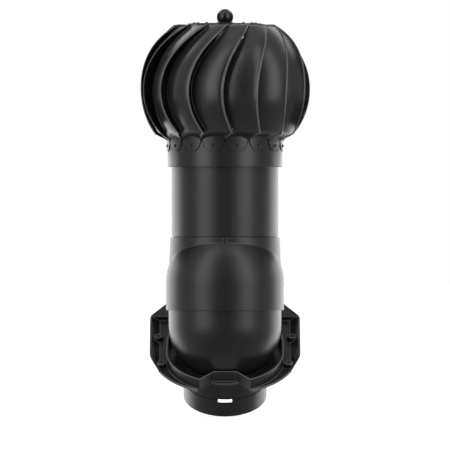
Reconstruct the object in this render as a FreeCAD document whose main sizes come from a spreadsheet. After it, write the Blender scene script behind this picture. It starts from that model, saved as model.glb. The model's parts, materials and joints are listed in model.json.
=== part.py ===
import FreeCAD, Part
import math
import os
import Sketcher

# Roof turbine ventilator: a tilted roof flange with a ball socket, an adjustable
# housing and pipe, and a wind driven rotor. Millimetres, +Z up, +Y away from the front.
# The origin is the middle of the duct spigot's open end.

Vector = FreeCAD.Vector
doc = FreeCAD.newDocument("RoofTurbineVentilator")

SIZES = [
    ("roof_angle", 30, "slope of the roof that the flange lies on, degrees"),
    ("running_gap", 0.4, "gap between moulded parts that slide in each other"),
    ("ball_radius", 84.7, "outside of the lower housing"),
    ("ball_setback", 24.2, "ball centre up the slope from the spigot axis"),
    ("ball_height", 52.5, "ball centre above the flange underside"),
    ("ball_wall", 2.5, "wall of the lower housing"),
    ("port_radius", 38, "air port in the ball"),
    ("seat_top_angle", 45, "upper edge of the seat, from straight below the ball"),
    ("seat_low_angle", 36, "lower edge of the seat"),
    ("socket_wall", 2.5, "wall of the socket under the flange"),
    ("floor_wall", 2.5, "flange plate"),
    ("spigot_radius", 63, "outside of the duct spigot"),
    ("spigot_wall", 2.5, "wall of the duct spigot"),
    ("spigot_length", 55.3, "spigot below the flange underside"),
    ("duct_seat_drop", 27, "upper end of the duct's seat, below the flange underside"),
    ("duct_seat_step", 0.8, "spigot slimmer above the duct's seat"),
    ("strap_slot_width", 21, "strap slot in the spigot"),
    ("strap_slot_tall", 5.8, "strap slot in the spigot"),
    ("strap_slot_drop", 29.1, "strap slot below the flange underside"),
    ("collar_gap", 0.7, "between the housing and the collar around it"),
    ("collar_wall", 2.3, "wall of the collar"),
    ("collar_tall", 19.5, "collar above the flange underside"),
    ("collar_run", 32, "straight run between the collar's round ends"),
    ("collar_fall_start", 88, "where the collar starts to fall towards the deck"),
    ("notch_reach", 56.6, "face of the front notch, from the spigot axis"),
    ("notch_half", 16.5, "half width of that face"),
    ("notch_angle", 43.5, "splay of the notch sides from the slope, degrees"),
    ("front_radius", 108.7, "round front edge of the flange"),
    ("front_setback", 17.5, "centre of that edge, up the slope"),
    ("gutter_half", 98.3, "half width of the gutter floor"),
    ("rim_half", 113.9, "half width over the gutter rims"),
    ("rim_radius", 114.5, "round front of the gutter rims"),
    ("rim_tall", 10.8, "gutter rim and deck above the underside"),
    ("rim_wall", 2.2, "wall of the rims and the deck"),
    ("rim_fall_start", 14, "rim starts to fall towards the front here, up the slope"),
    ("rim_fall_run", 44, "length of that fall"),
    ("rim_fall_radius", 90, "rounding where the fall starts"),
    ("rim_fall_turn_angle", 17, "share of the fall's slope that the rounding makes"),
    ("lip_width", 1.4, "bead along the front edge"),
    ("lip_tall", 1.6, "bead above the plate"),
    ("side_end", 121.6, "end of the straight sides, up the slope"),
    ("side_round", 26, "rounding between the sides and the upper taper"),
    ("deck_front", 121, "front wall of the raised rear deck"),
    ("deck_end", 204, "upper end of the flange"),
    ("deck_end_half", 60, "half width at the upper end"),
    ("deck_corner", 18, "rounding of the upper corners"),
    ("boss_radius", 6.8, "screw bosses"),
    ("boss_hole", 2.3, "screw hole in a boss"),
    ("boss_low_x", 95.1, "lower and upper bosses, from the middle"),
    ("boss_mid_x", 100, "middle bosses, from the middle"),
    ("boss_low_y", -14, "lower bosses, up the slope"),
    ("boss_mid_y", 63.4, "middle bosses, up the slope"),
    ("boss_top_y", 128, "upper bosses, up the slope"),
    ("skirt_rise", 22.6, "lower rim of the hood above the ball centre"),
    ("dome_rise", 63.2, "centre of the hood's dome above the ball centre"),
    ("hood_wall", 3.5, "wall of the hood"),
    ("bulge_rise", 70, "centre of the hood's rear bulge above the ball centre"),
    ("hood_top_rise", 131.7, "upper rim of the hood"),
    ("hood_rim_wall", 2, "wall of the hood's pipe socket at its rim"),
    ("hood_draft", 2.6, "how much wider the pipe socket is at its foot"),
    ("hood_stop_rise", 92, "stop inside the hood that the pipe stands on"),
    ("housing_top_rise", 58, "upper edge of the lower housing"),
    ("rib_wide", 5.6, "locating rib on the hood's rim"),
    ("rib_tall", 8, "locating rib on the hood's rim"),
    ("rib_proud", 1.2, "locating rib on the hood's rim"),
    ("pipe_setback", 18, "pipe axis behind the ball centre"),
    ("pipe_radius", 80, "outside of the upper pipe"),
    ("pipe_wall", 2, "wall of the upper pipe"),
    ("pipe_top_rise", 258, "top of the upper pipe"),
    ("cross_rise", -15, "middle of the axle's cross, from here on from the pipe's top"),
    ("cross_tall", 12, "arms of the cross"),
    ("cross_wall", 3, "arms of the cross"),
    ("cross_hub", 13, "hub radius of the cross"),
    ("cross_pad", 20, "width of the pads at the ends of the arms"),
    ("cross_screw", 2.5, "screws through the pipe into the cross"),
    ("axle_radius", 5, "fixed axle"),
    ("axle_end", 1, "axle beyond its upper bearing"),
    ("axle_shoulder", 8, "collar on the axle that stands on the cross"),
    ("axle_step", 1.5, "step under the lower bearing"),
    ("axle_shoulder_tall", 6, "collar on the axle"),
    ("axle_top_rise", 189, "top of the axle"),
    ("nut_tall", 6, "nut under the cross"),
    ("nut_across", 16, "nut across its corners"),
    ("bearing_outer", 13, "bearing outer radius"),
    ("bearing_bore", 5.05, "bearing bore radius"),
    ("bearing_wide", 8, "bearing width"),
    ("sleeve_radius", 15.5, "hub sleeve of the rotor"),
    ("sleeve_low_rise", 126, "lower end of the hub sleeve"),
    ("sleeve_flange", 32, "flange of the hub sleeve under the top plate"),
    ("sleeve_flange_thick", 2, "flange of the hub sleeve"),
    ("ring_low_rise", -20.2, "lower edge of the rotor ring"),
    ("ring_top_rise", 19, "upper edge of the rotor ring"),
    ("ring_gap", 4.8, "between the pipe and the rotor ring"),
    ("ring_wall", 1.2, "wall of the rotor ring"),
    ("ring_bead", 0.5, "bead at the lower edge of the rotor ring"),
    ("blade_count", 15, "blades"),
    ("blade_wall", 0.9, "blade sheet"),
    ("blade_hem", 2.2, "folded outer edge of a blade"),
    ("foot_half_angle", 11.6, "half width of a blade's foot on the ring, degrees"),
    ("foot_low_rise", 3.5, "tip of the foot tabs"),
    ("foot_valley_rise", 19.6, "bend of the foot at its sides"),
    ("foot_arch", 6, "bend of the foot, higher in its middle"),
    ("belly_rise", 98, "widest height of the rotor"),
    ("belly_arc", 114, "radius of the blades' side view"),
    ("belly_offset", 14, "centre of that radius from the axis"),
    ("belly_low_angle", -37, "lower end of the side view, degrees"),
    ("belly_top_angle", 57, "upper end of the side view, degrees"),
    ("blade_overlap_angle", 4.2, "how far a blade reaches under the next, degrees"),
    ("blade_tuck", 22, "how deep its inner edge lies"),
    ("blade_lead_low_angle", 7.6, "outer edge turned ahead at the lower end, degrees"),
    ("blade_lead_top_angle", 29, "outer edge turned ahead at the upper end, degrees"),
    ("blade_shift_angle", 11, "outer edge from its foot's middle at the belly, degrees"),
    ("top_tab_reach", 39, "inner end of the blades' top tabs, radius"),
    ("top_tab_gap", 0.8, "between the top tabs and the top plate"),
    ("top_plate_radius", 56, "top plate"),
    ("top_plate_thick", 1.2, "top plate"),
    ("top_plate_rise", 194.4, "underside of the top plate"),
    ("top_rivet_radius", 46.7, "rivet circle of the top plate"),
    ("rivet_head", 2.6, "head radius of the rivets"),
    ("rivet_shank", 1.6, "shank radius of the rivets"),
    ("rivet_dome", 1.9, "height of a rivet's head"),
    ("rivet_tail", 1, "rivets beyond the inner sheet"),
    ("drill_reach", 10, "length of a rivet hole's cut to each side of the sheet"),
    ("low_rivet_rise", 11.4, "rivets on the rotor ring"),
    ("knob_radius", 12.3, "ball knob"),
    ("knob_rise", 205.4, "centre of the ball knob"),
    ("knob_neck", 7, "foot of the ball knob on the plate"),
    ("knob_stem", 4, "stem of the ball knob"),
]

sheet = doc.addObject("Spreadsheet::Sheet", "Sizes")
for row, (alias, number, note) in enumerate(SIZES, 1):
    sheet.set("A%d" % row, str(number))
    sheet.setAlias("A%d" % row, alias)
    sheet.set("B%d" % row, note)
doc.recompute()

pieces = []


def size(name):
    return float(sheet.get(name))


def value(text):
    """The number that an expression on the sheet gives."""
    return float(sheet.evalExpression(text.replace("Sizes.", "")))


def bind(thing, **expressions):
    for path, text in expressions.items():
        thing.setExpression(path.replace("__", "."), text)
    return thing


def at(thing, x="0", y="0", z="0"):
    return bind(thing, Placement__Base__x=x, Placement__Base__y=y, Placement__Base__z=z)


def cylinder(name, radius, height, **place):
    thing = doc.addObject("Part::Cylinder", name)
    return at(bind(thing, Radius=radius, Height=height), **place)


def sphere(name, radius, **place):
    thing = doc.addObject("Part::Sphere", name)
    return at(bind(thing, Radius=radius), **place)


def cone(name, low, high, height, **place):
    thing = doc.addObject("Part::Cone", name)
    return at(bind(thing, Radius1=low, Radius2=high, Height=height), **place)


def block(name, length, width, height, **place):
    thing = doc.addObject("Part::Box", name)
    return at(bind(thing, Length=length, Width=width, Height=height), **place)


def fuse(name, shapes):
    thing = doc.addObject("Part::MultiFuse", name)
    thing.Shapes = shapes
    thing.Refine = True
    return thing


def cut(name, base, tool):
    thing = doc.addObject("Part::Cut", name)
    thing.Base = base
    thing.Tool = tool
    thing.Refine = True
    return thing


def common(name, shapes):
    thing = doc.addObject("Part::MultiCommon", name)
    thing.Shapes = shapes
    return thing


def outline(sketch, corners):
    """A closed outline of straight lines and arcs. A corner is (x, y) or, where an arc
    ends there, (x, y, arc centre x, arc centre y, the axis that fixes the arc's end)."""
    spots = [Vector(value(c[0]), value(c[1]), 0) for c in corners]
    count = len(corners)
    for i, corner in enumerate(corners):
        start, end = spots[i - 1], spots[i]
        if len(corner) == 2:
            sketch.addGeometry(Part.LineSegment(start, end))
            continue
        centre = Vector(value(corner[2]), value(corner[3]), 0)
        swing = (start - centre).cross(end - centre).z
        first, last = (start, end) if swing > 0 else (end, start)
        angles = [math.atan2(p.y - centre.y, p.x - centre.x) for p in (first, last)]
        circle = Part.Circle(centre, Vector(0, 0, 1), (start - centre).Length)
        sketch.addGeometry(Part.ArcOfCircle(circle, angles[0], angles[1]))
    ends = []
    for i, corner in enumerate(corners):
        forward = True
        if len(corner) > 2:
            centre = Vector(value(corner[2]), value(corner[3]), 0)
            forward = (spots[i - 1] - centre).cross(spots[i] - centre).z > 0
        ends.append((1, 2) if forward else (2, 1))
    for i, corner in enumerate(corners):
        follower = (i + 1) % count
        add = sketch.addConstraint
        add(Sketcher.Constraint("Coincident", i, ends[i][1], follower, ends[follower][0]))
        fixed = "xy" if len(corner) == 2 else corner[4]
        for axis, kind, text in (("x", "DistanceX", corner[0]), ("y", "DistanceY", corner[1])):
            if axis in fixed:
                tie(sketch, kind, i, ends[i][1], text)
        if len(corner) > 2:
            tie(sketch, "DistanceX", i, 3, corner[2])
            tie(sketch, "DistanceY", i, 3, corner[3])
    return sketch


def tie(sketch, kind, element, point, text):
    number = sketch.addConstraint(Sketcher.Constraint(kind, -1, 1, element, point, value(text)))
    sketch.setExpression("Constraints[%d]" % number, text)


def plane_sketch(body, role, name, corners):
    sketch = body.newObject("Sketcher::SketchObject", name)
    plane = [f for f in body.Origin.OriginFeatures if f.Role == role][0]
    sketch.AttachmentSupport = [(plane, "")]
    sketch.MapMode = "FlatFace"
    return outline(sketch, corners)


def turned(name, corners):
    """A body turned about its own Z axis from a half section in X and Z."""
    body = doc.addObject("PartDesign::Body", name)
    section = plane_sketch(body, "XZ_Plane", name + "_section", corners)
    feature = body.newObject("PartDesign::Revolution", name + "_turned")
    feature.Profile = section
    feature.ReferenceAxis = (section, ["V_Axis"])
    feature.Angle = 360
    return body


def padded(name, corners, height, start="0"):
    """An outline in the flange's plane, raised along the flange's normal."""
    body = doc.addObject("PartDesign::Body", name)
    section = plane_sketch(body, "XY_Plane", name + "_outline", corners)
    feature = body.newObject("PartDesign::Pad", name + "_pad")
    feature.Profile = section
    bind(feature, Length=height)
    return at(body, z=start)


def keep(thing, label, place):
    """Names a finished piece and puts it in its place on the ventilator."""
    thing.Label = label
    bind(thing, **place)
    pieces.append(thing)
    return thing


# Sizes that follow from others.
COLLAR = "(Sizes.ball_radius + Sizes.collar_gap)"
DOME = "(Sizes.ball_radius + Sizes.running_gap + Sizes.hood_wall)"
HOOD_TOP = "(Sizes.pipe_radius + Sizes.running_gap / 2 + Sizes.hood_rim_wall)"
HOOD_LOW = "(%s + Sizes.hood_draft)" % HOOD_TOP
RING_INNER = "(Sizes.pipe_radius + Sizes.ring_gap)"
RING = "(%s + Sizes.ring_wall)" % RING_INNER

# Places: the flange lies on the roof, the housing and the rotor stay upright.
PITCH = "Sizes.roof_angle"
BALL_RISE = "(Sizes.ball_height + Sizes.spigot_length)"
BALL_Y = "(Sizes.ball_setback * cos(%s) - %s * sin(%s))" % (PITCH, BALL_RISE, PITCH)
BALL_Z = "(Sizes.ball_setback * sin(%s) + %s * cos(%s))" % (PITCH, BALL_RISE, PITCH)
AXIS_Y = "(%s + Sizes.pipe_setback)" % BALL_Y
TILT = dict(Placement__Rotation__Axis__x="1", Placement__Rotation__Axis__z="0",
            Placement__Rotation__Angle=PITCH)
ON_ROOF = dict(TILT, Placement__Base__y="-Sizes.spigot_length * sin(%s)" % PITCH,
               Placement__Base__z="Sizes.spigot_length * cos(%s)" % PITCH)
ON_BALL = dict(Placement__Base__y=BALL_Y, Placement__Base__z=BALL_Z)
ON_AXIS = dict(Placement__Base__y=AXIS_Y, Placement__Base__z=BALL_Z)
ON_PIPE = dict(Placement__Base__y=AXIS_Y, Placement__Base__z=BALL_Z + " + Sizes.pipe_top_rise")


def flange_outline(half, radius, drop="0"):
    """Front arc, straight sides, the taper and its rounded corners, from the lower right."""
    turn = "(Sizes.front_setback - sqrt(pow(%s; 2) - pow(%s; 2)))" % (radius, half)
    end_y = "(Sizes.deck_end - %s)" % drop
    end_x = "(Sizes.deck_end_half - %s)" % drop
    taper = "atan((%s - Sizes.side_end) / (%s - %s))" % (end_y, half, end_x)
    corner = "(Sizes.deck_corner - %s)" % drop
    bend = "atan((%s - %s) / (%s - Sizes.side_end))" % (half, end_x, end_y)
    reach = "(Sizes.side_round * tan(%s / 2))" % bend
    side_x = "(%s - Sizes.side_round)" % half
    side_y = "(Sizes.side_end - %s)" % reach
    bent_x = "(%s + Sizes.side_round * cos(%s))" % (side_x, bend)
    bent_y = "(%s + Sizes.side_round * sin(%s))" % (side_y, bend)
    round_x = "(%s - %s * tan(%s / 2))" % (end_x, corner, taper)
    round_y = "(%s - %s)" % (end_y, corner)
    start_x = "(%s + %s * sin(%s))" % (round_x, corner, taper)
    start_y = "(%s + %s * cos(%s))" % (round_y, corner, taper)
    return [
        (half, turn, "0", "Sizes.front_setback", "x"),
        (half, side_y),
        (bent_x, bent_y, side_x, side_y, "y"),
        (start_x, start_y),
        (round_x, end_y, round_x, round_y, "x"),
        ("-" + round_x, end_y),
        ("-" + start_x, start_y, "-" + round_x, round_y, "y"),
        ("-" + bent_x, bent_y),
        ("-(%s)" % half, side_y, "-" + side_x, side_y, "y"),
        ("-(%s)" % half, turn),
    ]


def stadium(name, radius, height, start):
    """A slot-shaped block: two round ends joined by straight sides."""
    low = cylinder(name + "_low", radius, height, z=start)
    high = cylinder(name + "_high", radius, height, y="Sizes.collar_run", z=start)
    middle = block(name + "_middle", "2 * (%s)" % radius, "Sizes.collar_run", height,
                   x="-(%s)" % radius, z=start)
    return fuse(name, [low, high, middle])


def notch_block(name, grow):
    """The splayed notch at the front, grown by a wall where the collar follows it."""
    face = "(0 - Sizes.notch_reach + %s)" % grow
    slant = "Sizes.notch_angle"
    half = "(Sizes.notch_half + %s * tan(45 - %s / 2))" % (grow, slant)
    reach = "(Sizes.front_radius * 1.2)"
    wide = "(%s + (%s + %s) * tan(%s))" % (half, reach, face, slant)
    corners = [(half, face), ("-" + half, face), ("-" + wide, "-" + reach), (wide, "-" + reach)]
    return padded(name, corners, "4 * Sizes.collar_tall", "-Sizes.collar_tall")


def side_block(name, corners):
    """A block across the whole flange with its outline in the slope's side view."""
    body = doc.addObject("PartDesign::Body", name)
    section = plane_sketch(body, "YZ_Plane", name + "_outline", corners)
    feature = body.newObject("PartDesign::Pad", name + "_pad")
    feature.Profile = section
    feature.Midplane = True
    bind(feature, Length="4 * Sizes.rim_half")
    return body


def tray_block(name, drop):
    """The flange filled up to its rims: narrow below, wide at the rims."""
    body = doc.addObject("PartDesign::Body", name)
    low = flange_outline("(Sizes.gutter_half - %s)" % drop, "(Sizes.front_radius - %s)" % drop, drop)
    high = flange_outline("(Sizes.rim_half - %s)" % drop, "(Sizes.rim_radius - %s)" % drop, drop)
    foot = plane_sketch(body, "XY_Plane", name + "_foot", low)
    rim = plane_sketch(body, "XY_Plane", name + "_rim", high)
    bind(rim, AttachmentOffset__Base__z="Sizes.rim_tall")
    doc.recompute()
    feature = body.newObject("PartDesign::AdditiveLoft", name + "_loft")
    feature.Profile = foot
    feature.Sections = [rim]
    feature.Ruled = True
    return body


def socket_profile(grow, top):
    """Half section of the ball's seat: a round bottom, then a straight flare."""
    radius = "(Sizes.ball_radius + Sizes.running_gap + %s)" % grow
    angle = "Sizes.seat_top_angle"
    edge_x = "(%s * sin(%s))" % (radius, angle)
    edge_z = "(Sizes.ball_height - %s * cos(%s))" % (radius, angle)
    top_x = "(%s + (%s - %s) / tan(%s))" % (edge_x, top, edge_z, angle)
    return [
        ("0", "(Sizes.ball_height - %s)" % radius),
        (edge_x, edge_z, "0", "Sizes.ball_height", "x"),
        (top_x, top),
        ("0", top),
    ]


# Flange: one moulding of plate, gutters, deck, collar, bosses, socket and duct spigot.
FAR = "(3 * Sizes.rim_half)"
BORE = "(Sizes.spigot_radius - Sizes.spigot_wall)"
front = flange_outline("Sizes.gutter_half", "Sizes.front_radius")
plate = padded("plate", front, "Sizes.floor_wall")
bead_outer = padded("bead_outer", front, "Sizes.floor_wall + Sizes.lip_tall")
bead_inner = padded("bead_inner", flange_outline(
    "(Sizes.gutter_half - Sizes.lip_width)", "(Sizes.front_radius - Sizes.lip_width)",
    "Sizes.lip_width"), "2 * Sizes.floor_wall + 2 * Sizes.lip_tall", "-Sizes.floor_wall")
bead_front = side_block("bead_front", [
    ("Sizes.rim_fall_start - Sizes.rim_fall_run", "0"),
    ("Sizes.rim_fall_start - Sizes.rim_fall_run", "2 * Sizes.rim_tall"),
    ("-" + FAR, "2 * Sizes.rim_tall"),
    ("-" + FAR, "0")])
bead = common("bead", [cut("bead_ring", bead_outer, bead_inner), bead_front])
rim_fall = side_block("rim_fall", [
    ("Sizes.rim_fall_start", "3 * Sizes.rim_tall"),
    ("-" + FAR, "3 * Sizes.rim_tall"),
    ("-" + FAR, "Sizes.floor_wall"),
    ("Sizes.rim_fall_start - Sizes.rim_fall_run", "Sizes.floor_wall"),
    ("Sizes.rim_fall_start - Sizes.rim_fall_radius * sin(Sizes.rim_fall_turn_angle)",
     "Sizes.rim_tall - Sizes.rim_fall_radius * (1 - cos(Sizes.rim_fall_turn_angle))"),
    ("Sizes.rim_fall_start", "Sizes.rim_tall", "Sizes.rim_fall_start",
     "Sizes.rim_tall - Sizes.rim_fall_radius", "x")])
tray_full = tray_block("tray_full", "0")
tray_hollow = tray_block("tray_hollow", "Sizes.rim_wall")
rims = cut("rims", cut("rim_band", tray_full, tray_hollow),
           fuse("rim_cuts", [rim_fall, notch_block("notch_rims", "0")]))
deck_space = block("deck_space", "2 * " + FAR, FAR, "2 * Sizes.rim_tall",
                   x="-" + FAR, y="Sizes.deck_front", z="0")
deck = common("deck", [tray_block("deck_full", "0"), deck_space])
under_deck_space = block(
    "under_deck_space", "2 * " + FAR, FAR, "Sizes.rim_tall - Sizes.rim_wall",
    x="-" + FAR, y="Sizes.deck_front + Sizes.rim_wall", z="0")
under_deck = common("under_deck", [tray_block("deck_hollow", "Sizes.rim_wall"), under_deck_space])
collar_block = cut(
    "collar_block",
    stadium("collar_outer", COLLAR + " + Sizes.collar_wall", "Sizes.collar_tall", "0"),
    notch_block("notch_face", "0"))
collar_space = cut(
    "collar_space",
    stadium("collar_inner", COLLAR, "2 * Sizes.collar_tall", "Sizes.floor_wall"),
    notch_block("notch_inside", "Sizes.collar_wall"))
collar_fall = side_block("collar_fall", [
    ("Sizes.collar_fall_start", "Sizes.collar_tall"),
    ("Sizes.deck_front", "Sizes.rim_tall"),
    (FAR, "Sizes.rim_tall"),
    (FAR, "3 * Sizes.collar_tall"),
    ("Sizes.collar_fall_start", "3 * Sizes.collar_tall")])
collar = cut("collar", cut("collar_ring", collar_block, collar_space), collar_fall)
plate_notched = cut("plate_notched", fuse("plate_and_bead", [plate, bead]),
                    notch_block("notch_plate", "0"))
ledge = cylinder("ledge", "Sizes.spigot_radius + Sizes.duct_seat_step", "Sizes.floor_wall")
spigot_skin = cylinder("spigot_skin", "Sizes.spigot_radius",
                       "Sizes.spigot_length + Sizes.floor_wall / 2", z="-Sizes.spigot_length")
above_seat = cut(
    "above_seat",
    cylinder("above_seat_outer", "2 * Sizes.spigot_radius", "2 * Sizes.duct_seat_drop",
             z="-Sizes.duct_seat_drop"),
    cylinder("above_seat_wall", "Sizes.spigot_radius - Sizes.duct_seat_step",
             "2 * Sizes.duct_seat_drop", z="-Sizes.duct_seat_drop"))
spigot_bore = cylinder("spigot_bore", BORE, "Sizes.spigot_length + Sizes.floor_wall",
                       z="-Sizes.spigot_length - Sizes.floor_wall")
strap_slot = block("strap_slot", "Sizes.strap_slot_width", "Sizes.spigot_radius",
                   "Sizes.strap_slot_tall", x="-Sizes.strap_slot_width / 2",
                   y="-1.5 * Sizes.spigot_radius",
                   z="-Sizes.strap_slot_drop - Sizes.strap_slot_tall / 2")
spigot_cuts = fuse("spigot_cuts", [spigot_bore, above_seat, strap_slot])
spigot = cut("spigot", spigot_skin, spigot_cuts)
ball_space = at(turned("ball_space", socket_profile("0", "2 * Sizes.floor_wall")),
                y="Sizes.ball_setback")
socket_skin = at(turned("socket_skin", socket_profile("Sizes.socket_wall", "Sizes.floor_wall / 2")),
                 y="Sizes.ball_setback")
SEAT_LOW = ("(Sizes.ball_height - (Sizes.ball_radius + Sizes.running_gap)"
            " * cos(Sizes.seat_low_angle))")
air_way = cylinder("air_way", BORE, "Sizes.spigot_length + " + SEAT_LOW, z="-Sizes.spigot_length")
socket = cut("socket", socket_skin, air_way)
bosses = []
boss_holes = []
for level in ("low", "mid", "top"):
    across = "Sizes.boss_mid_x" if level == "mid" else "Sizes.boss_low_x"
    along = "Sizes.boss_%s_y" % level
    for side, sign in (("right", ""), ("left", "-")):
        name = "boss_%s_%s" % (level, side)
        bosses.append(cylinder(name, "Sizes.boss_radius", "Sizes.rim_tall",
                               x=sign + across, y=along))
        boss_holes.append(cylinder(name + "_hole", "Sizes.boss_hole", "3 * Sizes.rim_tall",
                                   x=sign + across, y=along, z="-Sizes.rim_tall"))
flange_body = fuse("flange_body", [plate_notched, ledge, rims, deck, collar, spigot, socket] + bosses)
flange_spaces = fuse("flange_spaces", [ball_space, under_deck] + boss_holes)
keep(cut("flange", flange_body, flange_spaces), "base_flange", ON_ROOF)

# Lower housing: a ball that turns in the socket, open upwards, with an air port.
inner = "(Sizes.ball_radius - Sizes.ball_wall)"
housing_shell = turned("housing_shell", [
    ("0", "-Sizes.ball_radius"),
    ("Sizes.ball_radius", "0", "0", "0", "y"),
    ("Sizes.ball_radius", "Sizes.housing_top_rise"),
    (inner, "Sizes.housing_top_rise"),
    (inner, "0"),
    ("0", "-" + inner, "0", "0", "x")])
port = cylinder("port", "Sizes.port_radius", "1.5 * Sizes.ball_radius",
                y="1.5 * Sizes.ball_radius * sin(%s)" % PITCH,
                z="-1.5 * Sizes.ball_radius * cos(%s)" % PITCH)
bind(port, **TILT)
keep(cut("housing", housing_shell, port), "lower_housing", ON_BALL)

# Hood: a dome over the housing that carries the pipe socket behind it.
dome_inner = "(%s - Sizes.hood_wall)" % DOME
dome = turned("dome", [
    ("0", "Sizes.skirt_rise"),
    (DOME, "Sizes.skirt_rise"),
    (DOME, "Sizes.dome_rise"),
    ("0", "Sizes.dome_rise + " + DOME, "0", "Sizes.dome_rise", "x")])
dome_space = turned("dome_space", [
    ("0", "Sizes.skirt_rise - Sizes.hood_wall"),
    (dome_inner, "Sizes.skirt_rise - Sizes.hood_wall"),
    (dome_inner, "Sizes.dome_rise"),
    ("0", "Sizes.dome_rise + " + dome_inner, "0", "Sizes.dome_rise", "x")])
pipe_socket = cone("pipe_socket", HOOD_LOW, HOOD_TOP,
                   "Sizes.hood_top_rise - Sizes.bulge_rise",
                   y="Sizes.pipe_setback", z="Sizes.bulge_rise")
bulge_ball = sphere("bulge_ball", HOOD_LOW,
                    y="Sizes.pipe_setback", z="Sizes.bulge_rise")
bulge_space = sphere("bulge_space", HOOD_LOW + " - Sizes.hood_wall",
                     y="Sizes.pipe_setback", z="Sizes.bulge_rise")
WIDE = "(4 * %s)" % DOME
below_skirt = block("below_skirt", WIDE, WIDE,
                    WIDE, x="-%s / 2" % WIDE,
                    y="-%s / 2" % WIDE, z="Sizes.skirt_rise - " + WIDE)
above_rim = block("above_rim", WIDE, WIDE,
                  WIDE, x="-%s / 2" % WIDE,
                  y="-%s / 2" % WIDE, z="Sizes.hood_top_rise")
socket_bore = cylinder("socket_bore", "Sizes.pipe_radius + Sizes.running_gap / 2",
                       "Sizes.hood_top_rise", y="Sizes.pipe_setback", z="Sizes.hood_stop_rise")
rib = block("rib", "Sizes.rib_wide", "2 * Sizes.rib_proud", "Sizes.rib_tall",
            x="-Sizes.rib_wide / 2",
            y="Sizes.pipe_setback - %s - Sizes.rib_proud" % HOOD_TOP,
            z="Sizes.hood_top_rise - Sizes.rib_tall")
hood_body = fuse("hood_body", [dome, pipe_socket, bulge_ball, rib])
hood_spaces = fuse("hood_spaces", [dome_space, bulge_space, socket_bore, below_skirt, above_rim])
keep(cut("hood_shell", hood_body, hood_spaces), "hood", ON_BALL)

# Upper pipe, and the screw holes that hold the axle's cross in it.
pipe_inner = "(Sizes.pipe_radius - Sizes.pipe_wall)"
pipe_tube = turned("pipe_tube", [
    (pipe_inner, "Sizes.hood_stop_rise"),
    ("Sizes.pipe_radius", "Sizes.hood_stop_rise"),
    ("Sizes.pipe_radius", "Sizes.pipe_top_rise"),
    (pipe_inner, "Sizes.pipe_top_rise")])
ARMS = 4


def cross_screw(name, radius, start, length, turn, above="0"):
    """A round bar that points outwards from the axis at the cross's height."""
    thing = cylinder(name, radius, length, x="(%s) * cos(%s)" % (start, turn),
                     y="(%s) * sin(%s)" % (start, turn), z="Sizes.cross_rise + %s" % above)
    return bind(thing, Placement__Rotation__Axis__x="-sin(%s)" % turn,
                Placement__Rotation__Axis__y="cos(%s)" % turn,
                Placement__Rotation__Axis__z="0", Placement__Rotation__Angle="90")


turns = ["(360 * (%d + 1 / 2) / %d)" % (arm, ARMS) for arm in range(ARMS)]
screw_holes = fuse("screw_holes", [
    cross_screw("screw_hole_%d" % i, "Sizes.cross_screw + Sizes.running_gap / 4",
                "Sizes.cross_hub", "Sizes.pipe_radius", turn, "Sizes.pipe_top_rise")
    for i, turn in enumerate(turns)])
keep(cut("pipe", pipe_tube, screw_holes), "upper_pipe", ON_AXIS)

# Cross: hub, four arms on edge and curved pads against the pipe.
pad_ring = turned("pad_ring", [
    (pipe_inner + " - Sizes.cross_wall", "Sizes.cross_rise - Sizes.cross_tall / 2"),
    (pipe_inner, "Sizes.cross_rise - Sizes.cross_tall / 2"),
    (pipe_inner, "Sizes.cross_rise + Sizes.cross_tall / 2"),
    (pipe_inner + " - Sizes.cross_wall", "Sizes.cross_rise + Sizes.cross_tall / 2")])


def cross_bars(name, wide, reach):
    """Two bars through the axis that cross at right angles, each two arms long."""
    bars = []
    for i, turn in enumerate(turns[:ARMS // 2]):
        bar = block("%s_%d" % (name, i), "2 * (%s)" % reach, wide, "Sizes.cross_tall",
                    x="-(%s) * cos(%s) + %s / 2 * sin(%s)" % (reach, turn, wide, turn),
                    y="-(%s) * sin(%s) - %s / 2 * cos(%s)" % (reach, turn, wide, turn),
                    z="Sizes.cross_rise - Sizes.cross_tall / 2")
        bars.append(bind(bar, Placement__Rotation__Angle=turn))
    return bars


pads = common("pads", [pad_ring, fuse("pad_bars", cross_bars("pad_bar", "Sizes.cross_pad",
                                                             "Sizes.pipe_radius"))])
hub = cylinder("hub", "Sizes.cross_hub", "Sizes.cross_tall",
               z="Sizes.cross_rise - Sizes.cross_tall / 2")
arms = cross_bars("arm", "Sizes.cross_wall", pipe_inner + " - Sizes.cross_wall / 2")
cross_body = fuse("cross_body", [pads, hub] + arms)
axle_hole = cylinder("axle_hole", "Sizes.axle_radius + Sizes.running_gap / 8",
                     "4 * Sizes.cross_tall", z="Sizes.cross_rise - 2 * Sizes.cross_tall")
cross_holes = fuse("cross_holes", [axle_hole] + [
    cross_screw("pad_hole_%d" % i, "Sizes.cross_screw + Sizes.running_gap / 4",
                pipe_inner + " - 2 * Sizes.cross_wall", "Sizes.pipe_radius", turn)
    for i, turn in enumerate(turns)])
keep(cut("cross", cross_body, cross_holes), "axle_cross", ON_PIPE)
screws = []
for i, turn in enumerate(turns):
    shank = cross_screw("screw_shank_%d" % i, "Sizes.cross_screw",
                        pipe_inner + " - 2 * Sizes.cross_wall",
                        "Sizes.pipe_wall + 2 * Sizes.cross_wall", turn)
    head = cross_screw("screw_head_%d" % i, "2 * Sizes.cross_screw", "Sizes.pipe_radius",
                       "Sizes.rivet_dome", turn)
    screws.append(fuse("screw_%d" % i, [shank, head]))
screw_set = doc.addObject("Part::Compound", "screw_set")
screw_set.Links = screws
keep(screw_set, "cross_screws", ON_PIPE)

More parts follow.
